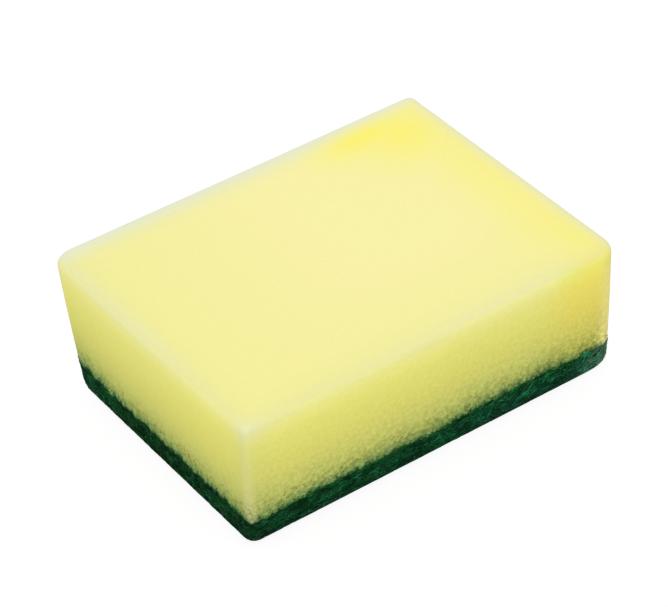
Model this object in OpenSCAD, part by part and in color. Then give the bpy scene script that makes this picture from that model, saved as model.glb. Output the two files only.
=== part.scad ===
// Cleaning sponge: a block of fine open-cell foam bonded to a non-woven scouring pad.
// The origin is on the table, under the middle of the block. X runs along it and Z points up.

/* [Foam block] */
// Length of the block at its widest, just under the soft rim
foam_length = 90; // [60:1:140]
// Width of the block at its widest, just under the soft rim
foam_width = 70; // [45:1:110]
// Thickness of the foam, from the bond up to the middle of the top face
foam_thickness = 23.6; // [14:0.2:50]
// Radius of the soft rim around the top face
rim_radius = 1.8; // [0.5:0.1:5]
// Rise of the top face from its rim to its middle
crown_rise = 0.4; // [0.1:0.1:2]

/* [Sides] */
// How far the front side leans in, from under the rim down to the table
front_lean = 1.2; // [0:0.1:6]
// How far the back side leans in, from under the rim down to the table
back_lean = 4.4; // [0:0.1:6]
// How far each end leans in, from under the rim down to the table
end_lean = 0.4; // [0:0.1:5]
// Radius of the two sharper upright corners, front left and back right
sharp_corner_radius = 1.3; // [1:0.1:12]
// Radius of the two softer upright corners, front right and back left
soft_corner_radius = 4.2; // [1:0.1:12]
// How much larger the radius of each upright corner is down at the table
corner_growth = 1.3; // [0:0.1:4]

/* [Scouring pad] */
// Thickness of the pad, from the table up to the bond
pad_thickness = 7.4; // [3:0.1:15]
// Radius of the pad's rounded lower edge
pad_edge_radius = 2.6; // [0.5:0.1:6]
// How far matted fibres stand out of the pad's sides, or sink into them
fibre_relief = 0.2; // [0:0.05:0.5]

/* [Bond] */
// How far the bond line wanders up and down around the sponge
wave_height = 0.6; // [0:0.1:1.5]
// Length of the longest wave of the bond line
wave_length = 44; // [10:1:80]

/* [Open cells] */
// Width of the widest open cells that the side faces cut through
cell_width = 1.4; // [1:0.1:2]
// Depth of the deepest open cells
cell_depth = 0.6; // [0.2:0.1:1.5]
// Share of the places beside the bond that hold an open cell
cell_share = 0.4; // [0:0.05:0.8]

/* [Hidden] */

// Heights that follow from the sizes above
sponge_height = pad_thickness + foam_thickness;
rim_z = sponge_height - crown_rise - rim_radius;
pad_edge_share = 0.7;
pad_edge = min(pad_edge_radius, pad_edge_share * (pad_thickness - wave_height));

// The corners stay almost even down the foam and open out in the pad
corner_bend = 3;

// Grid of the outer skin: one cell fits each step, with some foam left around it
cell_wall = 0.3;
skin_pitch = cell_width + 2 * cell_wall;
corner_room = sharp_corner_radius + soft_corner_radius;
long_steps = round((foam_length - corner_room) / skin_pitch);
short_steps = round((foam_width - corner_room) / skin_pitch);
corner_steps = 5;
ring_count = 4 * corner_steps + 2 * (long_steps + short_steps);
side_levels = round((rim_z - pad_thickness) / (2 * skin_pitch));
rim_levels = 4;
top_scales = [0.9, 0.5];
edge_levels = 4;
fibre_levels = 4;

// Each wave of the bond line: its share of the height, turns along X and Y, and start angle
waves = [[0.45, 0.5, -0.86, 95], [0.3, -1.22, -0.98, 325], [0.25, 2.32, -1.65, 205]];

// Chance decides where the cells are, how large each is, and how far each fibre stands out
cell_sides = 8;
cell_spread = 0.35;
cell_seed = 41;
drift_seed = 87;
fibre_seed = 13;
cell_luck = rands(0, 1, side_levels * ring_count, cell_seed);
cell_drift = rands(-1, 1, side_levels * ring_count, drift_seed);
fibre_luck = rands(-1, 1, (edge_levels + fibre_levels) * ring_count, fibre_seed);

function lerp(from, to, share) = from + (to - from) * share;
function unit(v) = v / norm(v);
function sum(list, i = 0) = i < len(list) ? list[i] + sum(list, i + 1) : 0;
function next(i) = (i + 1) % ring_count;

// Points of a straight stretch and of a round corner, each without its last point
function stretch(from, to, steps) = [for (k = [0:steps - 1]) lerp(from, to, k / steps)];
function corner(centre, radius, start) = [
    for (k = [0:corner_steps - 1])
        let (turn = start + 90 * k / corner_steps)
        centre + radius * [cos(turn), sin(turn)]
];

// A rounded rectangle, anticlockwise from its sharper corner at the back right
function rounded_rectangle(half_l, front_w, back_w, sharp, soft) =
    concat(
        corner([half_l - sharp, back_w - sharp], sharp, 0),
        stretch([half_l - sharp, back_w], [soft - half_l, back_w], long_steps),
        corner([soft - half_l, back_w - soft], soft, 90),
        stretch([-half_l, back_w - soft], [-half_l, sharp - front_w], short_steps),
        corner([sharp - half_l, sharp - front_w], sharp, 180),
        stretch([sharp - half_l, -front_w], [half_l - soft, -front_w], long_steps),
        corner([half_l - soft, soft - front_w], soft, 270),
        stretch([half_l, soft - front_w], [half_l, back_w - sharp], short_steps)
    );

// The sponge's outline at a height, drawn in by an inset: its sides lean in to the table
function outline(z, inset = 0) =
    let (lean = 1 - min(z, rim_z) / rim_z, growth = corner_growth * pow(lean, corner_bend))
    rounded_rectangle(
        foam_length / 2 - end_lean * lean - inset,
        foam_width / 2 - front_lean * lean - inset,
        foam_width / 2 - back_lean * lean - inset,
        sharp_corner_radius + growth,
        soft_corner_radius + growth
    );
function ring_at(z, inset = 0) = [for (p = outline(z, inset)) [p.x, p.y, z]];

// A ring part of the way from one ring to another
function ring_between(low, high, share) = [
    for (i = [0:ring_count - 1]) lerp(low[i], high[i], share)
];

// Height of the bond at a place: long and short waves added up
function bond_z(p) = pad_thickness + wave_height * sum([
    for (w = waves) w[0] * sin(360 * (w[1] * p.x + w[2] * p.y) / wave_length + w[3])
]);

// The bond's outer edge and its middle, which both pieces share point for point
bond_ring = [for (p = outline(pad_thickness)) [p.x, p.y, bond_z(p)]];
bond_middle = [0, 0, pad_thickness];

// Two triangles between place i of two stacked rings, numbered by their first points
function quad(low, high, i) = [
    [low + i, high + i, high + next(i)],
    [low + i, high + next(i), low + next(i)]
];
function skin(levels) = [
    for (level = [0:levels - 1], i = [0:ring_count - 1])
        each quad(level * ring_count, (level + 1) * ring_count, i)
];

// Triangles that close a ring with one middle point, facing down or up
function bottom_cap(middle) = [for (i = [0:ring_count - 1]) [middle, i, next(i)]];
function top_cap(first, middle) = [
    for (i = [0:ring_count - 1]) [first + i, middle, first + next(i)]
];

// Foam block: side faces from the bond up, the soft rim, then the crowned top face

foam_side_rings = [
    for (level = [0:side_levels]) ring_between(bond_ring, ring_at(rim_z), level / side_levels)
];
foam_rim_rings = [
    for (level = [1:rim_levels])
        let (turn = 90 * level / rim_levels)
        ring_at(rim_z + rim_radius * sin(turn), rim_radius * (1 - cos(turn)))
];
foam_top_rings = [
    for (scale = top_scales) [
        for (p = foam_rim_rings[rim_levels - 1])
            [p.x * scale, p.y * scale, p.z + crown_rise * (1 - scale * scale)]
    ]
];
foam_rings = concat(foam_side_rings, foam_rim_rings, foam_top_rings);

// Half way round a ring there is a corner, a long side, a corner and a short side
function on_flat(i) =
    let (
        past_corner = i % (ring_count / 2) - corner_steps,
        past_second = past_corner - long_steps - corner_steps
    )
    (past_corner >= 0 && past_corner < long_steps) || past_second >= 0;

// Open cells lie on the flat faces only, most of them beside the bond and fewer higher up
function holds_cell(level, i) =
    on_flat(i) && cell_luck[level * ring_count + i] < cell_share * (1 - level / side_levels);
cells = [
    for (level = [0:side_levels - 1], i = [0:ring_count - 1])
        if (holds_cell(level, i)) [level, i]
];

// Rim points of one cell, anticlockwise from outside, then the bottom of its pit
function cell_points(level, i) =
    let (
        start = foam_side_rings[level][i],
        along = foam_side_rings[level][next(i)] - start,
        up = foam_side_rings[level + 1][i] - start,
        drift = cell_drift[level * ring_count + i],
        size = 1 - cell_spread * abs(drift),
        radius = size * min(cell_width, norm(along) - cell_wall) / 2,
        room = norm(up) / 2 - radius - cell_wall,
        middle = start + along / 2 + (norm(up) / 2 + room * drift) * unit(up)
    )
    concat(
        [
            for (k = [0:cell_sides - 1])
                let (turn = 360 * (k + 0.5) / cell_sides)
                middle + radius * (cos(turn) * unit(along) + sin(turn) * unit(up))
        ],
        [middle - size * cell_depth * unit(cross(along, up))]
    );

// The skin around one cell, from each grid corner to the two rim sides beside it, and its pit
function cell_faces(level, i, first) =
    let (
        low = level * ring_count,
        high = low + ring_count,
        grid = [high + next(i), high + i, low + i, low + next(i)]
    )
    concat(
        [
            for (k = [0:3])
                let (
                    rim = [for (side = [0:2]) first + (2 * k + side) % cell_sides],
                    corner_next = grid[(k + 1) % 4]
                )
                each [
                    [grid[k], rim[0], rim[1]],
                    [grid[k], rim[1], corner_next],
                    [corner_next, rim[1], rim[2]]
                ]
        ],
        [for (k = [0:cell_sides - 1]) [first + k, first + cell_sides, first + (k + 1) % cell_sides]]
    );

module foam_block() {
    grid_points = [for (ring = foam_rings) each ring];
    bottom = len(grid_points);
    first_cell = bottom + 2;
    color("khaki")
    polyhedron(
        points = concat(
            grid_points,
            [bond_middle, [0, 0, sponge_height]],
            [for (cell = cells) each cell_points(cell[0], cell[1])]
        ),
        faces = concat(
            bottom_cap(bottom),
            [
                for (level = [0:len(foam_rings) - 2], i = [0:ring_count - 1])
                    if (level >= side_levels || !holds_cell(level, i))
                        each quad(level * ring_count, (level + 1) * ring_count, i)
            ],
            [
                for (k = [0:1:len(cells) - 1])
                    each cell_faces(cells[k][0], cells[k][1], first_cell + k * (cell_sides + 1))
            ],
            top_cap(bottom - ring_count, bottom + 1)
        )
    );
}

// Scouring pad: the rounded lower edge, then the matted side up to the bond

pad_edge_rings = [
    for (level = [0:edge_levels])
        let (turn = 90 * level / edge_levels)
        ring_at(pad_edge * (1 - cos(turn)), pad_edge * (1 - sin(turn)))
];
pad_side_rings = [
    for (level = [1:fibre_levels])
        ring_between(pad_edge_rings[edge_levels], bond_ring, level / fibre_levels)
];
pad_plain_rings = concat(pad_edge_rings, pad_side_rings);
pad_last = len(pad_plain_rings) - 1;

// Outward direction of the skin at place i of a ring
function outward(ring, i) =
    let (along = ring[next(i)] - ring[(i + ring_count - 1) % ring_count])
    unit([along.y, -along.x, 0]);

// Fibres push the skin in and out, but not on the flat underside or along the bond
pad_rings = [
    for (level = [0:pad_last])
        let (ring = pad_plain_rings[level], free = level > 0 && level < pad_last)
        free ? [
            for (i = [0:ring_count - 1])
                ring[i] + fibre_relief * fibre_luck[level * ring_count + i] * outward(ring, i)
        ] : ring
];

module scouring_pad() {
    grid_points = [for (ring = pad_rings) each ring];
    bottom = len(grid_points);
    color("darkgreen")
    polyhedron(
        points = concat(grid_points, [[0, 0, 0], bond_middle]),
        faces = concat(
            bottom_cap(bottom),
            skin(pad_last),
            top_cap(bottom - ring_count, bottom + 1)
        )
    );
}

foam_block();
scouring_pad();
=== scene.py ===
import math
import random

import bmesh
import bpy
from mathutils import Matrix, Vector, noise


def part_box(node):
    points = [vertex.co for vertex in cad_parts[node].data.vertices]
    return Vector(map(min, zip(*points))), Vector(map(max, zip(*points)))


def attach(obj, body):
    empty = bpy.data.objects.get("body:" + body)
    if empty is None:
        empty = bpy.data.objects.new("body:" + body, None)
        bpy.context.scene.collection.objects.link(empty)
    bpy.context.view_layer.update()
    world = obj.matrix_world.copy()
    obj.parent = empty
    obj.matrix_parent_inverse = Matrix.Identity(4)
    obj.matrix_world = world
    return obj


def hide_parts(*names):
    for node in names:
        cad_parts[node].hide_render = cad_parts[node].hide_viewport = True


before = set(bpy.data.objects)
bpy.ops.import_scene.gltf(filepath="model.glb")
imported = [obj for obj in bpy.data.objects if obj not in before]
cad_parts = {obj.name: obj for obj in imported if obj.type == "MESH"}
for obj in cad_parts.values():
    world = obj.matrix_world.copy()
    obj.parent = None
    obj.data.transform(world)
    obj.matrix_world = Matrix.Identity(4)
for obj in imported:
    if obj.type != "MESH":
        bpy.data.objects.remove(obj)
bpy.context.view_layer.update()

mm = 0.001

# The sponge's soft form, close to the one in the part's source
spongeForm = {
    # How far each side leans in, from under the rim down to the table
    "frontLean": 1.2 * mm,
    "backLean": 4.4 * mm,
    "leftLean": -0.12 * mm,     # the ends stand a touch wider at the table
    "rightLean": -0.2 * mm,
    # Radius of each upright corner, under the rim and at the table
    "frontLeft": (1.3 * mm, 2.2 * mm),
    "frontRight": (4.6 * mm, 5.9 * mm),
    "backRight": (1.3 * mm, 3.0 * mm),
    "backLeft": (3.9 * mm, 6.0 * mm),
    "cornerBend": 3,            # the corners open out mostly in the pad
    "rimRadius": 1.8 * mm,      # rounding around the top face
    "padEdge": 2.6 * mm,        # rounding around the underside
    "crownRise": 0.4 * mm,      # how much the middle of the top stands above its rim
    "padThickness": 6.85 * mm,  # height of the bond, under the fuzz that hides it
    "waveHeight": 0.6 * mm,     # wander of the bond line
    "waveLength": 44 * mm,
    # Each wave: its share of the height, turns along x and y, and start angle
    "waves": [(0.45, 0.5, -0.86, 95), (0.3, -1.22, -0.98, 325), (0.25, 2.32, -1.65, 205)],
    # Tears along the bond: size and height
    "ragged": [(3.4 * mm, 0.45 * mm), (1.5 * mm, 0.6 * mm), (0.8 * mm, 0.35 * mm)],
    "tornEnd": 1.35,            # the left end is torn this much more
    "tornFrom": 0.96,           # where that end begins, as a share of the half length
    # Where the foam sags over the pad or stands higher on it: place, reach, depth
    "sags": [
        (46 * mm, -31 * mm, 3 * mm, 1.8 * mm),
        (-45 * mm, -35 * mm, 2 * mm, 0.5 * mm),
        (-45 * mm, -8 * mm, 24 * mm, -0.2 * mm),
        (-44 * mm, 35 * mm, 5 * mm, -0.7 * mm),
    ],
    "steadyBand": 0.6 * mm,     # beside the bond both pieces keep to its line
    "pitch": 0.4 * mm,          # spacing of the skin's grid
    "wobble": 0.06 * mm,        # slow unevenness of a soft cut block
    "wobbleSize": 26 * mm,
}

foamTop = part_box("foam_block")[1]  # the foam's right, back and upper end
halfLength, halfWidth = foamTop.x, foamTop.y
topHeight = foamTop.z - spongeForm["crownRise"]
rimHeight = topHeight - spongeForm["rimRadius"]


# Camera, light and floor
cameraSetup = {
    "azimuth": -32.856,         # degrees round from the front
    "elevation": 38.063,
    "roll": -3.879,
    "distance": 0.60588,
    "aim": (-0.00017, 0.00077, 0.01671),
    "lens": 161.7,
    "sensor": 36,
    "clip": (0.01, 50),
}
lightSetup = {
    "sky": 0.8,                 # even light from all round
    "lamps": [                  # name, place, size, watts
        ("overheadLamp", (0.1, 0.1, 1.5), 1.6, 3.8),
        ("frontLamp", (-0.9, -1.1, 1.0), 1.4, 4.2),
    ],
    "floorSize": 8.0,
    "floorTone": 0.8,           # the floor as the light sees it
    "shadowShare": 0.14,        # how much of the shadow the camera sees
    "floorGlow": 0.9,
}


def addCamera(setup):
    turn, lift, roll = (math.radians(setup[name]) for name in ("azimuth", "elevation", "roll"))
    back = Vector((
        math.sin(turn) * math.cos(lift), -math.cos(turn) * math.cos(lift), math.sin(lift),
    ))
    levelRight = Vector((math.cos(turn), math.sin(turn), 0))
    levelUp = back.cross(levelRight)
    right = math.cos(roll) * levelRight + math.sin(roll) * levelUp
    up = math.cos(roll) * levelUp - math.sin(roll) * levelRight
    place = Vector(setup["aim"]) + setup["distance"] * back
    data = bpy.data.cameras.new("camera")
    data.lens = setup["lens"]
    data.sensor_width = setup["sensor"]
    data.clip_start, data.clip_end = setup["clip"]
    camera = bpy.data.objects.new("camera", data)
    camera.matrix_world = Matrix((
        (right.x, up.x, back.x, place.x),
        (right.y, up.y, back.y, place.y),
        (right.z, up.z, back.z, place.z),
        (0, 0, 0, 1),
    ))
    bpy.context.scene.collection.objects.link(camera)
    bpy.context.scene.camera = camera


def addLamp(name, place, size, watts):
    data = bpy.data.lights.new(name, "AREA")
    data.shape, data.size, data.energy = "DISK", size, watts
    lamp = bpy.data.objects.new(name, data)
    lamp.location = place
    lamp.rotation_euler = Vector(place).to_track_quat("Z", "Y").to_euler()
    bpy.context.scene.collection.objects.link(lamp)


def addNode(tree, kind, x=0, y=0, **settings):
    node = tree.nodes.new(kind)
    node.location = (x, y)
    for name, value in settings.items():
        setattr(node, name, value)
    return node


def newMaterial(name):
    material = bpy.data.materials.new(name)
    material.use_nodes = True
    material.node_tree.nodes.clear()
    return material, material.node_tree


def seenDirectly(tree):
    # 1 for the rays that show the backdrop: from the camera, mirrored or through glass
    path = addNode(tree, "ShaderNodeLightPath", -800)
    mirrored = addNode(tree, "ShaderNodeMath", -700, operation="ADD", use_clamp=True)
    total = addNode(tree, "ShaderNodeMath", -600, operation="ADD", use_clamp=True)
    tree.links.new(path.outputs["Is Glossy Ray"], mirrored.inputs[0])
    tree.links.new(path.outputs["Is Transmission Ray"], mirrored.inputs[1])
    tree.links.new(path.outputs["Is Camera Ray"], total.inputs[0])
    tree.links.new(mirrored.outputs[0], total.inputs[1])
    return total.outputs[0]


def addSky(setup):
    world = bpy.data.worlds.new("studio")
    world.use_nodes = True
    tree = world.node_tree
    tree.nodes.clear()
    level = addNode(tree, "ShaderNodeMapRange", -400)
    level.inputs["To Min"].default_value = setup["sky"]
    level.inputs["To Max"].default_value = 1.0
    tree.links.new(seenDirectly(tree), level.inputs["Value"])
    background = addNode(tree, "ShaderNodeBackground", -200)
    background.inputs["Color"].default_value = (1, 1, 1, 1)
    tree.links.new(level.outputs[0], background.inputs["Strength"])
    output = addNode(tree, "ShaderNodeOutputWorld")
    tree.links.new(background.outputs[0], output.inputs["Surface"])
    bpy.context.scene.world = world


def addFloor(setup):
    bm = bmesh.new()
    bmesh.ops.create_grid(bm, x_segments=2, y_segments=2, size=setup["floorSize"] / 2)
    mesh = bpy.data.meshes.new("studioFloor")
    bm.to_mesh(mesh)
    bm.free()
    floor = bpy.data.objects.new("studioFloor", mesh)
    bpy.context.scene.collection.objects.link(floor)
    material, tree = newMaterial("paleFloor")
    seen = seenDirectly(tree)
    tone = addNode(tree, "ShaderNodeMapRange", -400, 100)
    tone.inputs["To Min"].default_value = setup["floorTone"]
    tone.inputs["To Max"].default_value = setup["shadowShare"]
    glow = addNode(tree, "ShaderNodeMath", -400, -150, operation="MULTIPLY")
    glow.inputs[1].default_value = setup["floorGlow"]
    surface = addNode(tree, "ShaderNodeBsdfDiffuse", -200, 100)
    shine = addNode(tree, "ShaderNodeEmission", -200, -100)
    both = addNode(tree, "ShaderNodeAddShader", 0)
    output = addNode(tree, "ShaderNodeOutputMaterial", 200)
    tree.links.new(seen, tone.inputs["Value"])
    tree.links.new(seen, glow.inputs[0])
    tree.links.new(tone.outputs[0], surface.inputs["Color"])
    tree.links.new(glow.outputs[0], shine.inputs["Strength"])
    tree.links.new(surface.outputs[0], both.inputs[0])
    tree.links.new(shine.outputs[0], both.inputs[1])
    tree.links.new(both.outputs[0], output.inputs["Surface"])
    mesh.materials.append(material)


print("camera, light and floor")
bpy.context.scene.view_settings.view_transform = "Standard"
addCamera(cameraSetup)
addSky(lightSetup)
for lampName, lampPlace, lampSize, lampWatts in lightSetup["lamps"]:
    addLamp(lampName, lampPlace, lampSize, lampWatts)
addFloor(lightSetup)


# Blends that shape and colour both pieces
def lerp(low, high, share):
    return low + (high - low) * share


def climb(value, start, end):
    # 0 up to the start, 1 from the end on, smooth between them
    share = min(1, max(0, (value - start) / (end - start)))
    return share * share * (3 - 2 * share)


def bell(distance, width, power=2):
    return math.exp(-abs(distance / width) ** power)


def band(distance, strength, width, power=2):
    return strength * bell(distance, width, power)


def hump(value, middle, below, above, power=2):
    # A bell with its own reach on each side of its middle
    return bell(value - middle, above if value > middle else below, power)


# The form that both pieces share
def roundEdge(inset, drop, radius):
    # A point near a sharp edge, by its distance from the two faces, is laid on the rounding
    across, along = radius - min(inset, radius), radius - min(drop, radius)
    if across <= 0 or along <= 0:
        return inset, drop
    turn = math.atan2(along, across)
    return radius * (1 - math.cos(turn)), radius * (1 - math.sin(turn))


def planPoint(x, y, z, inset, sharpInset, edgeRadius):
    # A point of the upright box, moved onto the leaning outline with rounded corners
    lean = 1 - min(z, rimHeight) / rimHeight
    side, end = ("back" if y > 0 else "front"), ("Right" if x > 0 else "Left")
    halfX = halfLength - spongeForm[end.lower() + "Lean"] * lean - inset
    halfY = halfWidth - spongeForm[side + "Lean"] * lean - inset
    corner = lerp(*spongeForm[side + end], lean ** spongeForm["cornerBend"])
    corner = max(0, corner - max(0, inset - edgeRadius))
    if sharpInset < 2 * edgeRadius:
        x *= halfX / (halfLength - sharpInset)
        y *= halfY / (halfWidth - sharpInset)
    overX, overY = abs(x) - halfX + corner, abs(y) - halfY + corner
    if overX > 0 and overY > 0:
        turn = math.atan2(overY, overX)
        x = math.copysign(halfX - corner + corner * math.cos(turn), x)
        y = math.copysign(halfY - corner + corner * math.sin(turn), y)
    return x, y


def bondPoint(x, y):
    # Where a point of the upright box's side meets the bond
    return planPoint(x, y, spongeForm["padThickness"], 0, 0, spongeForm["rimRadius"])


def bondHeight(x, y, torn=True):
    # Long waves as in the solids, then the fine tears
    height = spongeForm["padThickness"]
    for share, alongX, alongY, start in spongeForm["waves"]:
        turn = math.tau * (alongX * x + alongY * y) / spongeForm["waveLength"]
        height += spongeForm["waveHeight"] * share * math.sin(turn + math.radians(start))
    if torn:
        more = spongeForm["tornEnd"] if x < -spongeForm["tornFrom"] * halfLength else 1
        for size, depth in spongeForm["ragged"]:
            height += more * depth * noise.noise(Vector((x, y, size)) / size)
    for sagX, sagY, reach, depth in spongeForm["sags"]:
        height -= depth * math.exp(-((x - sagX) ** 2 + (y - sagY) ** 2) / reach ** 2)
    return height


def gridBox(levels, openTop):
    # A box of even quads with its bond side left open, its height running from 0 to 1
    bm = bmesh.new()
    bmesh.ops.create_cube(bm, size=1)
    bmesh.ops.translate(bm, verts=bm.verts, vec=(0, 0, 0.5))
    bmesh.ops.scale(bm, verts=bm.verts, vec=(2 * halfLength, 2 * halfWidth, 1))
    bondSide = [f for f in bm.faces if f.normal.z * (1 if openTop else -1) > 0.5]
    bmesh.ops.delete(bm, geom=bondSide, context="FACES_ONLY")
    for axis, cuts in enumerate((
        round(2 * halfLength / spongeForm["pitch"]) - 1,
        round(2 * halfWidth / spongeForm["pitch"]) - 1,
        levels - 1,
    )):
        along = [e for e in bm.edges if abs((e.verts[0].co - e.verts[1].co)[axis]) > 1e-6]
        bmesh.ops.subdivide_edges(bm, edges=along, cuts=cuts, use_grid_fill=False)
    return bm


def closeBond(bm, height):
    rim = [e for e in bm.edges if e.is_boundary]
    walls = bmesh.ops.extrude_edge_only(bm, edges=rim)["geom"]
    inner = [v for v in walls if isinstance(v, bmesh.types.BMVert)]
    bmesh.ops.pointmerge(bm, verts=inner, merge_co=(0, 0, height))
    bm.normal_update()


def steady(distance):
    # 0 at the bond, 1 from the steady band's far side on
    return min(1, max(0, distance / spongeForm["steadyBand"]))


def skinMesh(bm, name):
    bmesh.ops.recalc_face_normals(bm, faces=bm.faces)
    mesh = bpy.data.meshes.new(name)
    bm.to_mesh(mesh)
    bm.free()
    return mesh


def finishPiece(name, mesh, material):
    mesh.materials.append(material)
    for polygon in mesh.polygons:
        polygon.use_smooth = True
    piece = bpy.data.objects.new(name, mesh)
    bpy.context.scene.collection.objects.link(piece)
    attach(piece, "root")
    return piece


# Nodes that the finishes share
def setSocket(tree, socket, value):
    # A link, a number or a colour
    if isinstance(value, bpy.types.NodeSocket):
        tree.links.new(value, socket)
    elif isinstance(value, (int, float)):
        socket.default_value = value
    else:
        socket.default_value = (*value, 1)


def mixColour(tree, factor, low, high, x, y, blend="MIX"):
    mix = addNode(tree, "ShaderNodeMix", x, y, data_type="RGBA", blend_type=blend)
    setSocket(tree, mix.inputs["Factor"], factor)
    setSocket(tree, mix.inputs[6], low)
    setSocket(tree, mix.inputs[7], high)
    return mix.outputs[2]


def mapRange(tree, value, fromLow, fromHigh, toLow, toHigh, x, y, **settings):
    ramp = addNode(tree, "ShaderNodeMapRange", x, y, **settings)
    setSocket(tree, ramp.inputs["Value"], value)
    for name, number in (
        ("From Min", fromLow), ("From Max", fromHigh), ("To Min", toLow), ("To Max", toHigh),
    ):
        ramp.inputs[name].default_value = number
    return ramp.outputs[0]


def combine(tree, operation, first, second, x, y):
    node = addNode(tree, "ShaderNodeMath", x, y, operation=operation)
    setSocket(tree, node.inputs[0], first)
    setSocket(tree, node.inputs[1], second)
    return node.outputs[0]


def attribute(tree, name, x, y):
    return addNode(tree, "ShaderNodeAttribute", x, y, attribute_name=name).outputs["Fac"]


def addNoise(tree, place, scale, detail, x, y, distortion=0):
    texture = addNode(tree, "ShaderNodeTexNoise", x, y)
    for name, value in (("Scale", scale), ("Detail", detail), ("Distortion", distortion)):
        texture.inputs[name].default_value = value
    tree.links.new(place, texture.inputs["Vector"])
    return texture.outputs[0]


def brighten(tree, colour, level, x, y):
    shaded = addNode(tree, "ShaderNodeHueSaturation", x, y)
    tree.links.new(colour, shaded.inputs["Color"])
    tree.links.new(level, shaded.inputs["Value"])
    return shaded.outputs[0]


def toneRamp(tree, value, tones, x, y):
    # Colours at given distances in mm, blended evenly between them
    reach = tones[-1][0]
    ramp = addNode(tree, "ShaderNodeValToRGB", x, y)
    stops = ramp.color_ramp.elements
    while len(stops) > 1:
        stops.remove(stops[-1])
    for k, (distance, colour) in enumerate(tones):
        stop = stops[0] if k == 0 else stops.new(distance / reach)
        stop.position = distance / reach
        stop.color = (*colour, 1)
    tree.links.new(mapRange(tree, value, 0, reach, 0, 1, x - 200, y), ramp.inputs[0])
    return ramp.outputs[0]


def addSurface(tree, colour, setup, height=None):
    # The shader and the output, with a bump where a height is given
    shader = addNode(tree, "ShaderNodeBsdfPrincipled", 600)
    shader.inputs["Roughness"].default_value = setup["roughness"]
    shader.inputs["Specular IOR Level"].default_value = setup["specular"]
    tree.links.new(colour, shader.inputs["Base Color"])
    if height:
        bump = addNode(tree, "ShaderNodeBump", 300, -200)
        bump.inputs["Strength"].default_value = setup["bumpStrength"]
        bump.inputs["Distance"].default_value = setup["bumpDepth"]
        tree.links.new(height, bump.inputs["Height"])
        tree.links.new(bump.outputs[0], shader.inputs["Normal"])
    output = addNode(tree, "ShaderNodeOutputMaterial", 900)
    tree.links.new(shader.outputs[0], output.inputs["Surface"])


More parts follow.
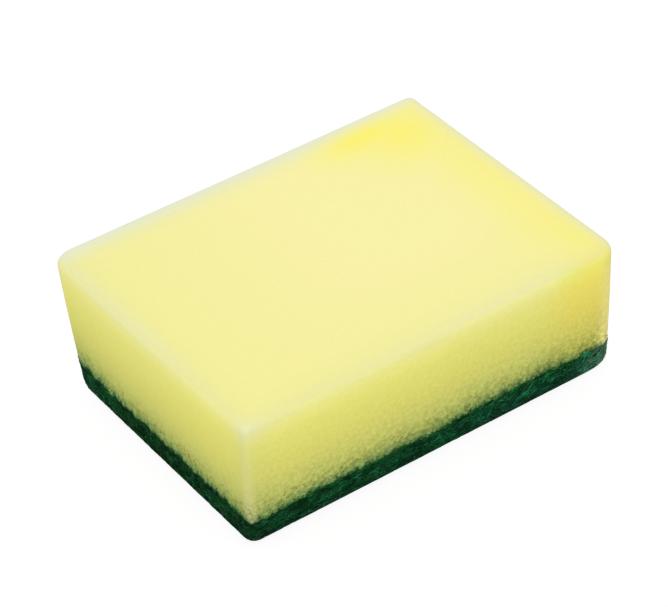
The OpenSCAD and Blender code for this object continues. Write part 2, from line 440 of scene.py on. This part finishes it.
# The block of foam; its finishes have their places in mm, x to the right and y to the back
foamSetup = {
    "levels": 70,               # rows of the grid from the bond up to the rim
    "tightness": 0.75,          # rows beside the bond against the average row
    "toneTurn": (0.6 * mm, 3 * mm),  # up to here the tones follow the tears, from there the waves
    "cellSize": 0.95 * mm,      # small open cells: spacing, then their width as a share of it
    "cellWidth": 0.8,
    "cellDepths": (0.008 * mm, 0.02 * mm, 0.08 * mm),  # on the top, high and low on the sides
    "rimFade": 2 * mm,          # the top's cells get shallow over this
    "cellFade": 5 * mm,         # height over which the low ones fade out
    "grainScale": 1100,
    "grain": [(0.19, 2.2), (0.1, 7)],  # light and dark of the cut cells: amount at the bond, fade
    "grainBase": 0.005,
    "endGrain": 0.65,           # the ends are cut finer, and it fades out this much sooner
    "endFade": 0.6,
    "endFrom": (43, 44.5),      # x over which a side turns into an end
    "tears": [(2000, 0.36), (500, 0.2)],  # wander of the side's tones: scale, mm up and down
    "tearFade": (3, 12),        # height over which it fades out
    "noiseReach": (0.38, 0.62),  # the levels between which a noise mostly lies
    "specks": (2.4, 1.8),       # brown specks: middle height and spread
    "speckFrom": (0.3, 1),
    "speckScale": 1.2,          # against the grain's
    "speckLevels": (0.57, 0.7, 0, 0.75),  # levels of the noise, then strengths there
    "roughness": 0.9,
    "specular": 0.15,
    "bumpStrength": 0.5,
    "bumpDepth": 1 * mm,
    # Colour by height above the bond, then by distance in from the rim of the top face. Up the
    # sides it darkens and turns green towards the bond: partly the pad's green fibres, partly
    # painted shade
    "sideTones": [
        (0, (0.036, 0.107, 0.023)), (0.3, (0.071, 0.159, 0.039)),
        (0.55, (0.118, 0.219, 0.059)), (0.8, (0.168, 0.277, 0.077)),
        (1.05, (0.214, 0.324, 0.09)), (1.3, (0.256, 0.361, 0.097)),
        (1.55, (0.293, 0.392, 0.102)), (2.05, (0.349, 0.434, 0.105)),
        (2.55, (0.406, 0.475, 0.113)), (3.55, (0.5, 0.542, 0.13)),
        (4.55, (0.561, 0.586, 0.141)), (5.55, (0.603, 0.62, 0.15)),
        (7.55, (0.677, 0.672, 0.166)), (10.5, (0.757, 0.735, 0.168)),
        (14.5, (0.823, 0.793, 0.188)), (18.5, (0.88, 0.848, 0.211)),
        (19.8, (0.914, 0.878, 0.236)), (21, (0.934, 0.902, 0.272)),
        (22, (0.932, 0.904, 0.304)), (23.1, (0.878, 0.853, 0.338)),
        (23.8, (0.834, 0.813, 0.355)),
    ],
    "topTones": [
        (0, (0.84, 0.82, 0.355)), (1, (0.84, 0.816, 0.347)), (2, (0.85, 0.824, 0.34)),
        (3, (0.868, 0.84, 0.333)), (5, (0.886, 0.851, 0.326)), (8, (0.905, 0.86, 0.334)),
    ],
    "topBlend": 0.4,            # the two meet over this much on each side of the rim
    "warmTop": (1.04, 1.022, 1.16),     # what the top's tone is multiplied by, middle and right
    "warmTopX": (-42, 10),
    "warmTopY": (-30, -6),
    "warmTopFront": 0.4,        # share of it that is left along the front
    # Painted light, a yellow glow inside the right edge: strength, middle, reach to its left and
    # right, at its front end and from there back
    "paintedGlowColour": (0.975, 0.885, 0.15),
    "glowBand": [(0.45, 42, 7, 4.5), (0.42, 39.5, 8, 4.5)],
    "glowTurn": (-32, -20),
    # Patches of the painted yellow glow: strength, then middle, reach below and above it and
    # power, for x and for y
    "glowPatches": [
        (0.86, (28, 12, 11, 2.4), (28, 6, 4.5)),
        (0.78, (35, 11, 8), (24.5, 11.5, 8)),
    ],
    "glowEdge": 5,              # the yellow fades out over this towards the edges
    "glowRight": 1.2,           # and comes this much closer to the right one
    # Painted highlights along the rims: strength and width
    "rimHighlightColour": (0.8, 0.83, 0.64),
    "backWidths": (4.4, 3.0),   # on the top, in the left part and in the right
    "backNarrows": (10, 28),
    "rightTop": (0.55, 1.9),
    "leftTop": (0.16, 2),
    "leftTopInset": 1,
    "backSide": (1, 1.5),       # below the rim
    "rightSide": (0.5, 2.6),
    "leftSide": (0.22, 2.6),
    "leftHaze": (0.08, 9),
    "sideTurn": 3,              # distance from an edge over which its side's painted highlight comes in
    "leftFrom": (-22, 0),       # the left rim's painted highlight runs from here to the back
    "frontHaze": (0.07, 5, 3),  # strength, width and power of the front rim's middle
    "frontHazeDrop": 1.5,
    "frontHazeX": ((-6, 14), (34, 28)),
    "frontHazeInset": (8, 3),
    "spot": (0.3, 3),           # painted highlight spot on the front left corner
    "spotPlace": (-44, -34),
    "spotRim": 2.5,
    # The front side's warm right end, on the side and then over the rim
    "warmEnd": (1.07, 0.955, 0.75),
    "warmEndX": ((22, 36), (30, 38)),
    "warmEndTop": 0.6,
    "warmEndRim": (-5, 0.5),
    "warmEndFoot": 0.75,        # share of it that is left low down
    "warmEndRise": (5, 14),
    # The foot of that end is lighter, as if it stood higher: how much, then middle and reach
    "footLift": 2,
    "footLiftX": (42, 5),
    "footLiftHeight": (3.4, 2.6),
    "footLiftFrom": (0.3, 1.8),
    "frontReach": 3,            # how far each side's finishes run round onto its neighbours
    "leftReach": 2,
    "yellowRim": (0.97, 1.01, 0.78),    # the front rim's right end
    "yellowRimX": (25, 33),
    "yellowRimDrop": 1.6,
    "yellowRimWidth": 3.2,
    "dimEnd": (0.93, 0.94, 1.0),        # both sides beside the front left corner
    "dimReach": 7,
    # Painted highlights along the upright edges: name, width, sharpness of the strip's sides,
    # strength, warmth
    "corners": [
        ("frontLeft", 1.1, 2, 0.4, 0), ("frontRight", 3.3, 4, 0.85, 1),
        ("backLeft", 3.3, 4, 0.6, 0), ("backRight", 1.3, 2, 0.5, 0),
    ],
    "coolEdgeHighlight": (0.76, 0.75, 0.37),
    "warmEdgeHighlight": (0.9, 0.8, 0.28),
    "cornerTop": (1, -2),       # the strips fade out over the rim
    "cornerLean": 0.3,          # how far down the corner's radius is taken
    "cornerShift": {"frontLeft": -0.8},  # this one's painted highlight lies more on the end
    "cornerNear": 8,
    "speckColour": (0.2, 0.17, 0.04),
}

foamFinishes = (
    "rim", "height", "glow", "warmTop", "pale", "warmEnd", "yellowRim", "dimEnd",
    "corner", "cornerWarmth", "grain", "specks",
)


def cellPit(point, size, width):
    # 1 in the middle of a cell of the foam, 0 at its wall
    distance = noise.voronoi(point / size)[0][0]
    return max(0.0, 1 - distance / width) ** 1.5


def foamForm(v, setup):
    x, y, share = v.co
    onTop = share > 0.9999
    share = share * (setup["tightness"] + (1 - setup["tightness"]) * share)
    inset = min(halfLength - abs(x), halfWidth - abs(y)) if onTop else 0.0
    bondX, bondY = bondPoint(x, y)
    low = bondHeight(bondX, bondY)
    radius = spongeForm["rimRadius"]
    sharpDrop = 0 if onTop else (topHeight - low) * (1 - share)
    softInset, drop = roundEdge(inset, sharpDrop, radius)
    z = topHeight - drop
    px, py = planPoint(x, y, z, softInset, inset, radius)
    crownX = max(0, 1 - (px / (halfLength - radius)) ** 2)
    crownY = max(0, 1 - (py / (halfWidth - radius)) ** 2)
    if onTop:
        z += spongeForm["crownRise"] * (crownX * crownY) ** 0.5
    # The tones follow the torn bond beside it, and its long waves from there up
    smoothLow = bondHeight(bondX, bondY, torn=False)
    height = z - lerp(low, smoothLow, climb(z - low, *setup["toneTurn"]))
    return Vector((px, py, z)), onTop, height, inset - sharpDrop


def paintedGlowShare(x, y, nearEdge, setup):
    # Painted light: a yellow glow along the right edge of the top, strongest towards its back
    # corner
    turn = climb(y, *setup["glowTurn"])
    strength, *place = (lerp(front, back, turn) for front, back in zip(*setup["glowBand"]))
    glow = strength * hump(x, *place)
    for strength, alongX, alongY in setup["glowPatches"]:
        glow = max(glow, strength * hump(x, *alongX) * hump(y, *alongY))
    return glow * climb(nearEdge, 0, setup["glowEdge"])


def rimHighlightShare(x, y, edges, rim, onTop, setup):
    # Painted highlights along the rims, widest along the back
    right, left, back, front = edges
    alongLeft = climb(y, *setup["leftFrom"])
    if onTop:
        shares = [
            bell(back, lerp(*setup["backWidths"], climb(x, *setup["backNarrows"]))),
            band(right, *setup["rightTop"]),
            band(left - setup["leftTopInset"], *setup["leftTop"]) * alongLeft,
        ]
    else:
        onRight, onLeft, onBack = (
            climb(edge, setup["sideTurn"], 0) for edge in (right, left, back)
        )
        shares = [
            band(rim, *setup["backSide"]) * onBack,
            band(rim, *setup["rightSide"]) * onRight,
            band(rim, *setup["leftSide"]) * onLeft * alongLeft,
            band(rim, *setup["leftHaze"]) * onLeft * alongLeft,
        ]
    comesIn, goesOut = (climb(x, *span) for span in setup["frontHazeX"])
    haze = band(rim + setup["frontHazeDrop"], *setup["frontHaze"]) * comesIn * goesOut
    spotX, spotY = setup["spotPlace"]
    spot = band(math.hypot(x - spotX, y - spotY), *setup["spot"]) * bell(rim, setup["spotRim"])
    return max(*shares, haze * climb(front, *setup["frontHazeInset"]), spot)


def edgeHighlightShare(x, y, rim, setup):
    # Painted highlight strip along a rounded upright edge, then how warm its colour is
    share = warm = 0
    for name, width, power, strength, warmth in setup["corners"]:
        # The middle of a rounded corner lies 0.29 of its radius in from the sharp one
        pull = 0.29 * lerp(*spongeForm[name], setup["cornerLean"])
        reachX, reachY = (halfLength - pull) / mm, (halfWidth - pull) / mm
        overX = x - math.copysign(reachX, 1 if name.endswith("Right") else -1)
        overY = y - math.copysign(reachY, 1 if name.startswith("back") else -1)
        overY += setup["cornerShift"].get(name, 0)
        if max(abs(overX), abs(overY)) < setup["cornerNear"] and rim < setup["cornerTop"][0]:
            share = band(math.hypot(overX, overY), strength, width, power)
            share *= climb(rim, *setup["cornerTop"])
            warm = warmth
    return share, warm


def foamMasks(place, onTop, height, rim, setup):
    # How much of each finish a place takes, with distances in mm
    x, y, height, rim = place.x / mm, place.y / mm, height / mm, rim / mm
    right, left = halfLength / mm - x, halfLength / mm + x
    back, front = halfWidth / mm - y, halfWidth / mm + y
    onFront, onLeft = bell(front, setup["frontReach"]), bell(left, setup["leftReach"])
    masks = {"rim": rim, "height": height}
    nearEdge = min(setup["glowRight"] * right, back, front, left)
    # Painted glow of light on the top
    masks["glow"] = paintedGlowShare(x, y, nearEdge, setup) if onTop else 0
    warmFront = lerp(setup["warmTopFront"], 1, climb(y, *setup["warmTopY"]))
    masks["warmTop"] = climb(x, *setup["warmTopX"]) * warmFront
    # Painted highlights along the rims
    masks["pale"] = rimHighlightShare(x, y, (right, left, back, front), rim, onTop, setup)
    warmSide, warmRim = (climb(x, *span) for span in setup["warmEndX"])
    warm = lerp(warmSide, setup["warmEndTop"] * warmRim, climb(rim, *setup["warmEndRim"]))
    warmRise = lerp(setup["warmEndFoot"], 1, climb(height, *setup["warmEndRise"]))
    masks["warmEnd"] = warm * onFront * warmRise
    middleX, reachX = setup["footLiftX"]
    middleHeight, reachHeight = setup["footLiftHeight"]
    lift = setup["footLift"] * bell(x - middleX, reachX) * bell(height - middleHeight, reachHeight)
    masks["height"] += lift * climb(height, *setup["footLiftFrom"]) * onFront
    yellow = bell(rim + setup["yellowRimDrop"], setup["yellowRimWidth"])
    masks["yellowRim"] = climb(x, *setup["yellowRimX"]) * yellow * onFront
    dim = max(onFront * bell(left, setup["dimReach"]), onLeft * bell(front, setup["dimReach"]))
    masks["dimEnd"] = 0 if onTop else dim
    # Painted highlights along the upright edges
    masks["corner"], masks["cornerWarmth"] = edgeHighlightShare(x, y, rim, setup)
    onEnd = 0 if onTop else climb(abs(x), *setup["endFrom"])
    fadeShare = lerp(1, setup["endFade"], onEnd)
    grain = 0 if onTop else sum(
        amount * math.exp(-max(0, height) / fade / fadeShare) for amount, fade in setup["grain"]
    )
    masks["grain"] = setup["grainBase"] + grain * lerp(1, setup["endGrain"], onEnd)
    middle, spread = setup["specks"]
    specks = bell(height - middle, spread) * climb(height, *setup["speckFrom"])
    masks["specks"] = 0 if onTop else specks
    return masks


def buildFoam(setup):
    bm = gridBox(setup["levels"], openTop=False)
    layers = {name: bm.verts.layers.float.new(name) for name in foamFinishes}
    facts = {}
    for v in bm.verts:
        place, onTop, height, rim = foamForm(v, setup)
        facts[v] = (onTop, height, rim)
        for name, value in foamMasks(place, onTop, height, rim, setup).items():
            v[layers[name]] = value
        v.co = place
    closeBond(bm, spongeForm["padThickness"])
    topDepth, highDepth, lowDepth = setup["cellDepths"]
    moves = {}
    for v, (onTop, height, rim) in facts.items():
        if onTop:
            depth = lerp(highDepth, topDepth, min(1, rim / setup["rimFade"]))
        else:
            depth = lerp(highDepth, lowDepth, math.exp(-height / setup["cellFade"]))
        pit = depth * cellPit(v.co, setup["cellSize"], setup["cellWidth"])
        swell = spongeForm["wobble"] * noise.noise(v.co / spongeForm["wobbleSize"])
        moves[v] = v.normal * (swell - pit) * steady(height)
    for v, move in moves.items():
        v.co += move
    return skinMesh(bm, "foamBlock")


def foamMaterial(setup):
    material, tree = newMaterial("openCellFoam")
    place = addNode(tree, "ShaderNodeTexCoord", -2800).outputs["Object"]
    masks = {
        name: attribute(tree, name, -1800, 1200 - 200 * k) for k, name in enumerate(foamFinishes)
    }
    # Plain tones: up the sides, and in from the rim of the top face
    height = tornHeight = masks["height"]
    low = mapRange(
        tree, height, *setup["tearFade"], 1, 0, -2400, 1300, interpolation_type="SMOOTHSTEP",
    )
    for k, (scale, wander) in enumerate(setup["tears"]):
        rowY = 1000 - 300 * k
        tears = addNoise(tree, place, scale, 1, -2600, rowY)
        shift = mapRange(
            tree, tears, *setup["noiseReach"], -wander, wander, -2400, rowY, clamp=False,
        )
        shift = combine(tree, "MULTIPLY", shift, low, -2200, rowY)
        tornHeight = combine(tree, "ADD", tornHeight, shift, -2000 + 150 * k, 1100)
    # The sides darken towards the bond, partly painted shade
    side = toneRamp(tree, tornHeight, setup["sideTones"], -1300, 1000)
    side = mixColour(tree, masks["warmEnd"], side, setup["warmEnd"], -1000, 1000, "MULTIPLY")
    # Painted highlights along the upright edges
    edge = mixColour(
        tree, masks["cornerWarmth"], setup["coolEdgeHighlight"], setup["warmEdgeHighlight"], -1000, 1250,
    )
    side = mixColour(tree, masks["corner"], side, edge, -800, 1000)
    side = mixColour(tree, masks["dimEnd"], side, setup["dimEnd"], -600, 1000, "MULTIPLY")
    top = toneRamp(tree, masks["rim"], setup["topTones"], -1300, 600)
    top = mixColour(tree, masks["warmTop"], top, setup["warmTop"], -1000, 600, "MULTIPLY")
    top = mixColour(tree, masks["warmEnd"], top, setup["warmEnd"], -900, 600, "MULTIPLY")
    # Painted glow of light on the top
    top = mixColour(tree, masks["glow"], top, setup["paintedGlowColour"], -800, 600)
    onTop = mapRange(tree, masks["rim"], -setup["topBlend"], setup["topBlend"], 0, 1, -600, 750)
    plain = mixColour(tree, onTop, side, top, -400, 800)
    plain = mixColour(tree, masks["yellowRim"], plain, setup["yellowRim"], -300, 800, "MULTIPLY")
    # Painted highlights along the rims
    plain = mixColour(tree, masks["pale"], plain, setup["rimHighlightColour"], -200, 800)
    # Light and dark grain of the cut cells
    cells = addNoise(tree, place, setup["grainScale"], 1, -1300, 0)
    relief = mapRange(tree, cells, *setup["noiseReach"], -1, 1, -1100, 0, clamp=False)
    grain = combine(tree, "MULTIPLY", relief, masks["grain"], -900, 0)
    level = combine(tree, "ADD", grain, 1.0, -700, 0)
    colour = brighten(tree, plain, level, 0, 700)
    # Brown specks in the lowest cells
    speckNoise = addNoise(tree, place, setup["speckScale"] * setup["grainScale"], 1, -1300, -300)
    speck = mapRange(tree, speckNoise, *setup["speckLevels"], -700, -300)
    speck = combine(tree, "MULTIPLY", speck, masks["specks"], -500, -300)
    colour = mixColour(tree, speck, colour, setup["speckColour"], 200, 500)
    addSurface(tree, colour, setup, grain)
    return material


print("foam block")
foam = finishPiece("foamBlock", buildFoam(foamSetup), foamMaterial(foamSetup))
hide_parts("foam_block")


# The pad's matted body
padSetup = {
    "levels": 22,
    "clearance": 0.03 * mm,     # gap between the hidden faces at the bond
    "underLift": 0.2 * mm,      # the fibres under the body touch the table, the body doesn't
    "underGap": 0.02 * mm,
    "lumpSize": 1.6 * mm,
    "lumpDepth": 0.2 * mm,
    "fineLumps": (0.4, 0.5),    # smaller lumps on them: share of the size and of the depth
    "sink": 0.12 * mm,          # the body lies this far inside the loose fibres
    "pressed": 0.3,             # share of the relief that is left at the table
    "pressedRise": (0.8 * mm, 2.6 * mm),
    "bodyColour": (0.002, 0.034, 0.01),
    # Painted shade in the gaps between the strands
    "gapShadeColour": (0.0006, 0.012, 0.003),
    "lightColour": (0.004, 0.07, 0.022),
    "grainSize": 0.5 * mm,
    "strandTwist": 1.5,
    "strandLevels": (0.48, 0.68),   # levels of the noise that turn light
    "gapScale": 0.7,            # against the strands'
    "gapReach": (0.15, 0.5),    # distances from a gap's middle over which its painted shade comes in
    "roughness": 0.8,
    "specular": 0.1,
    "bumpStrength": 0.8,
    "bumpDepth": 0.2 * mm,
}


def padForm(v, setup):
    x, y, share = v.co
    under = share < 0.0001
    inset = min(halfLength - abs(x), halfWidth - abs(y)) if under else 0.0
    top = bondHeight(*bondPoint(x, y)) - setup["clearance"]
    radius = spongeForm["padEdge"]
    softInset, rise = roundEdge(inset, 0 if under else top * share, radius)
    px, py = planPoint(x, y, rise, softInset, inset, radius)
    return Vector((px, py, rise)), top - rise


def buildPad(setup):
    bm = gridBox(setup["levels"], openTop=True)
    below = {}
    for v in bm.verts:
        v.co, below[v] = padForm(v, setup)
    closeBond(bm, spongeForm["padThickness"] - setup["clearance"])
    fineSize, fineDepth = setup["fineLumps"]
    moves = {}
    for v, drop in below.items():
        lump = noise.noise(v.co / setup["lumpSize"])
        lump += fineDepth * noise.noise(v.co / (fineSize * setup["lumpSize"]))
        flat = max(0.0, -v.normal.z) ** 4
        portion = lerp(setup["pressed"], 1, climb(v.co.z, *setup["pressedRise"]))
        sunk = portion * (setup["lumpDepth"] * lump - setup["sink"]) - setup["underLift"] * flat
        moves[v] = v.normal * sunk * steady(drop)
    for v, move in moves.items():
        v.co += move
        v.co.z = max(v.co.z, setup["underGap"])
    return skinMesh(bm, "padBody")


def padMaterial(setup):
    material, tree = newMaterial("mattedPad")
    place = addNode(tree, "ShaderNodeTexCoord", -1200).outputs["Object"]
    scale = 1 / setup["grainSize"]
    strands = addNoise(tree, place, scale, 4, -1000, 100, setup["strandTwist"])
    gaps = addNode(tree, "ShaderNodeTexVoronoi", -1000, -200)
    gaps.inputs["Scale"].default_value = setup["gapScale"] * scale
    tree.links.new(place, gaps.inputs["Vector"])
    smooth = {"interpolation_type": "SMOOTHSTEP"}
    light = mapRange(tree, strands, *setup["strandLevels"], 0, 1, -800, 100, **smooth)
    gap = mapRange(tree, gaps.outputs["Distance"], *setup["gapReach"], 1, 0, -800, -200, **smooth)
    colour = mixColour(tree, light, setup["bodyColour"], setup["lightColour"], -600, 100)
    # Painted shade in the gaps
    colour = mixColour(tree, gap, colour, setup["gapShadeColour"], -400, 100)
    addSurface(tree, colour, setup, strands)
    return material


print("scouring pad")
pad = finishPiece("padBody", buildPad(padSetup), padMaterial(padSetup))
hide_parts("scouring_pad")


# Loose fibres over the pad's sides and its underside
fibreSetup = {
    "thickness": 0.065 * mm,    # radius of one fibre
    "points": 5,
    "seed": 23,
    "sideCount": 7000,
    "sideLength": (1.6 * mm, 5.0 * mm),
    "sideTilt": 34,             # degrees from level
    "sideBend": (0.5, 0.12),    # spread of a whole fibre's bend, and of the kink at each point
    "sideDepth": (-0.16 * mm, -0.02 * mm),  # how deep it lies in the side
    "sideWander": (0.09 * mm, 1.4),  # wander in and out, and turn of it from point to point
    "sideLoose": (0.5 * mm, 2.5 * mm),  # height over which that comes in
    "sideReach": (-0.15, 0.25, 0.3),    # mm past the bond: middle, spread and most
    "sideStart": (0.4 * mm, 0.2 * mm),  # where it starts: lowest height, most above the bond
    "sideSpan": (0.3 * mm, 1.2 * mm),   # the same for the rest of it
    "shortest": 0.03 * mm,      # a point closer than this to the one before it steps down
    "stepDown": 0.06 * mm,
    "underCount": 4600,
    "underLength": (6.0 * mm, 14.0 * mm),
    "underBend": (1.0, 0.15),
    "underLevel": (0.08 * mm, 0.26 * mm),
    "underWander": (0.06 * mm, 1.5),
    "darkColour": (0.0018, 0.034, 0.009),
    "midColour": (0.005, 0.088, 0.025),
    "tealColour": (0.015, 0.165, 0.072),
    # Colour of the front right corner: partly wear, partly painted sheen
    "wearAndSheenColour": (0.12, 0.22, 0.14),
    "fleckColour": (0.12, 0.4, 0.22),
    "midTints": (0.1, 0.7),     # chance tints that turn a fibre from dark to mid, then to teal
    "tealTints": (0.7, 1),
    "roughness": 0.7,
    "specular": 0.05,
    "clumpScale": (400, 400, 720),  # matted clumps, longer than they are high
    "clumpLevels": (0.35, 0.65, 0.4, 1.6),  # levels of the noise, then light and dark there
    "fleckScale": 1700,
    "fleckLevels": (0.66, 0.76, 0, 0.8),
    "warmGreen": (1.1, 1, 0.6),     # from the left end to the front right corner the green turns bluer
    "coolGreen": (1.3, 1, 1.5),
    "wearAndSheenLevels": (0.75, 1, 0, 0.75),   # levels of that, then strengths of the corner's colour of wear and painted sheen
    # Painted light and shade: tone of the left half, the left end, the right half and the front
    # right corner, partly worn and partly painted sheen
    "plainShade": 1.1,
    "leftShade": 0.68,
    "rightShade": 1.8,
    "cornerShade": 5,
    # Their places in mm, x to the right and y to the back
    "leftX": (-42.5, -44.5),
    "leftY": (26, 10),
    "rightX": (-8, 16),
    "wearAndSheenPlace": (44, -33),
    "wearAndSheenReach": (8, 4),        # reach and power
    "wearAndSheenTop": (0.5, (4.8, 6.6)),   # towards the foam it darkens to this share between these heights
    "footShades": (0.6, 0.3),   # painted shade along the table, in the left half and in the right
    "footHeights": (1.4, 4.2, 5.5),     # its start, then its end in the left half and the right
    "coolShares": (0.45, 0.75, 0.12),   # in the left half, the right and at the left end
    "coolHeights": (5, 6.8),    # it ends between these
}


def padSurface(along, z, lift):
    # A point on the pad's side, by its way round the sponge and its height
    length, width = 2 * halfLength, 2 * halfWidth
    along %= 2 * (length + width)
    if along < length:
        x, y = along - halfLength, -halfWidth
    elif along < length + width:
        x, y = halfLength, along - length - halfWidth
    elif along < 2 * length + width:
        x, y = halfLength - (along - length - width), halfWidth
    else:
        x, y = -halfLength, halfWidth - (along - 2 * length - width)
    radius = spongeForm["padEdge"]
    softInset, rise = roundEdge(0, z, radius)
    return planPoint(x, y, rise, softInset - lift, 0, radius), rise


def sideFibre(rng, setup):
    bond = spongeForm["padThickness"]
    lowest, highest = setup["sideStart"]
    along, z = rng.uniform(0, 4 * (halfLength + halfWidth)), rng.uniform(lowest, bond + highest)
    length = rng.uniform(*setup["sideLength"])
    heading = math.radians(rng.gauss(0, setup["sideTilt"]))
    wholeBend, kink = setup["sideBend"]
    bend = rng.gauss(0, wholeBend)
    phase, depth = rng.uniform(0, math.tau), rng.uniform(*setup["sideDepth"])
    middle, spread, most = setup["sideReach"]
    reach = min(most, rng.gauss(middle, spread)) * mm
    wander, turn = setup["sideWander"]
    lowest, highest = setup["sideSpan"]
    path = []
    for k in range(setup["points"]):
        loose = wander * climb(z, *setup["sideLoose"])
        (x, y), rise = padSurface(along, z, depth + loose * math.sin(phase + turn * k))
        top = bondHeight(x, y) + reach
        place = Vector((x, y, min(max(rise, setup["thickness"]), top)))
        if path and (place - path[-1]).length < setup["shortest"]:
            place.z -= setup["stepDown"]
        path.append(place)
        step = length / (setup["points"] - 1)
        along += step * math.cos(heading)
        z += step * math.sin(heading)
        heading += bend / (setup["points"] - 1) + rng.gauss(0, kink)
        z = min(max(z, lowest), bond + highest)
    return path


def foldBack(value, low, high):
    # A fibre that would leave the flat part turns back into it
    if value < high:
        return min(low + abs(value - low), high)
    return max(2 * high - value, low)


def underFibre(rng, setup):
    # Only where the underside is flat
    reachX = halfLength - spongeForm["padEdge"]
    reachFront = halfWidth - spongeForm["frontLean"] - spongeForm["padEdge"]
    reachBack = halfWidth - spongeForm["backLean"] - spongeForm["padEdge"]
    x, y = rng.uniform(-reachX, reachX), rng.uniform(-reachFront, reachBack)
    length = rng.uniform(*setup["underLength"])
    wholeBend, kink = setup["underBend"]
    heading, bend = rng.uniform(0, math.tau), rng.gauss(0, wholeBend)
    phase, level = rng.uniform(0, math.tau), rng.uniform(*setup["underLevel"])
    wander, turn = setup["underWander"]
    path = []
    for k in range(setup["points"]):
        z = max(level + wander * math.sin(phase + turn * k), setup["thickness"])
        path.append(Vector((
            foldBack(x, -reachX, reachX), foldBack(y, -reachFront, reachBack), z,
        )))
        step = length / (setup["points"] - 1)
        x += step * math.cos(heading)
        y += step * math.sin(heading)
        heading += bend / (setup["points"] - 1) + rng.gauss(0, kink)
    return path


def padShade(place, setup):
    # Painted light and shade by place, then how blue the green is
    x, y, z = place.x / mm, place.y / mm, place.z / mm
    onLeft = climb(x, *setup["leftX"]) * climb(y, *setup["leftY"])
    onRight = climb(x, *setup["rightX"])
    wearAndSheenX, wearAndSheenY = setup["wearAndSheenPlace"]
    corner = bell(math.hypot(x - wearAndSheenX, y - wearAndSheenY), *setup["wearAndSheenReach"])
    shade = lerp(setup["plainShade"], setup["rightShade"], onRight)
    shade = lerp(lerp(shade, setup["leftShade"], onLeft), setup["cornerShade"], corner)
    footLow, leftHigh, rightHigh = setup["footHeights"]
    foot = lerp(*setup["footShades"], onRight * (1 - corner))
    shade *= lerp(foot, 1, climb(z, footLow, lerp(leftHigh, rightHigh, onRight)))
    topDarkShare, topDarkHeights = setup["wearAndSheenTop"]
    shade *= lerp(1, topDarkShare, corner * climb(z, *topDarkHeights))
    leftCool, rightCool, endCool = setup["coolShares"]
    cool = lerp(lerp(leftCool, rightCool, onRight), endCool, onLeft)
    return shade, lerp(lerp(cool, 0, climb(z, *setup["coolHeights"])), 1, corner)


def buildFibres(name, count, makePath, setup, seed):
    rng = random.Random(seed)
    section = bpy.data.curves.new("fibreSection", "CURVE")
    section.dimensions = "2D"
    outline = section.splines.new("POLY")
    outline.points.add(2)
    outline.use_cyclic_u = True
    for k, point in enumerate(outline.points):
        turn = math.tau * k / 3
        point.co = (setup["thickness"] * math.cos(turn), setup["thickness"] * math.sin(turn), 0, 1)
    sectionObject = bpy.data.objects.new("fibreSection", section)
    curve = bpy.data.curves.new(name, "CURVE")
    curve.dimensions = "3D"
    curve.bevel_mode = "OBJECT"
    curve.bevel_object = sectionObject
    curve.use_fill_caps = True
    tints = []
    for _ in range(count):
        path = makePath(rng, setup)
        spline = curve.splines.new("POLY")
        spline.points.add(len(path) - 1)
        for point, place in zip(spline.points, path):
            point.co = (*place, 1)
        tints.append(rng.random())
    holder = bpy.data.objects.new(name, curve)
    bpy.context.scene.collection.objects.link(holder)
    bpy.context.view_layer.update()
    graph = bpy.context.evaluated_depsgraph_get()
    mesh = bpy.data.meshes.new_from_object(holder.evaluated_get(graph))
    bpy.data.objects.remove(holder)
    bpy.data.objects.remove(sectionObject)
    mesh.name = name
    mesh.materials.clear()
    tint, shade, cool = (
        mesh.attributes.new(finish, "FLOAT", "POINT") for finish in ("tint", "shade", "cool")
    )
    perFibre = len(mesh.vertices) // count
    for k, vertex in enumerate(mesh.vertices):
        tint.data[k].value = tints[k // perFibre]
        shade.data[k].value, cool.data[k].value = padShade(vertex.co, setup)
    print(name, "has", len(mesh.vertices), "points,", perFibre, "for each fibre")
    return mesh


def fibreMaterial(setup):
    material, tree = newMaterial("padFibre")
    place = addNode(tree, "ShaderNodeTexCoord", -1400).outputs["Object"]
    tint = attribute(tree, "tint", -1000, 500)
    cool = attribute(tree, "cool", -700, -450)
    stretched = addNode(tree, "ShaderNodeMapping", -1200, 0)
    stretched.inputs["Scale"].default_value = setup["clumpScale"]
    tree.links.new(place, stretched.inputs["Vector"])
    clumps = addNoise(tree, stretched.outputs[0], 1, 2, -1000, 0)
    mid = mapRange(tree, tint, *setup["midTints"], 0, 1, -700, 550)
    teal = mapRange(tree, tint, *setup["tealTints"], 0, 1, -700, 300)
    colour = mixColour(tree, mid, setup["darkColour"], setup["midColour"], -400, 400)
    colour = mixColour(tree, teal, colour, setup["tealColour"], -200, 400)
    level = mapRange(tree, clumps, *setup["clumpLevels"], -700, 0)
    # Painted light and shade by place
    level = combine(tree, "MULTIPLY", level, attribute(tree, "shade", -700, -300), -400, 0)
    colour = brighten(tree, colour, level, 0, 300)
    hue = mixColour(tree, cool, setup["warmGreen"], setup["coolGreen"], -400, -300)
    colour = mixColour(tree, 1.0, colour, hue, 200, 300, "MULTIPLY")
    # Partly wear, partly painted sheen on the front right corner
    portion = mapRange(tree, cool, *setup["wearAndSheenLevels"], -400, -500)
    colour = mixColour(tree, portion, colour, setup["wearAndSheenColour"], 300, 300)
    flecks = addNoise(tree, place, setup["fleckScale"], 2, -700, -600)
    fleck = mapRange(tree, flecks, *setup["fleckLevels"], -400, -700)
    colour = mixColour(tree, fleck, colour, setup["fleckColour"], 400, 100)
    addSurface(tree, colour, setup)
    return material


print("pad fibres")
fibreFinish = fibreMaterial(fibreSetup)
for fibreName, fibreCount, makePath, fibreSeed in (
    ("sideFibres", fibreSetup["sideCount"], sideFibre, fibreSetup["seed"]),
    ("underFibres", fibreSetup["underCount"], underFibre, fibreSetup["seed"] + 1),
):
    fibreMesh = buildFibres(fibreName, fibreCount, makePath, fibreSetup, fibreSeed)
    finishPiece(fibreName, fibreMesh, fibreFinish)
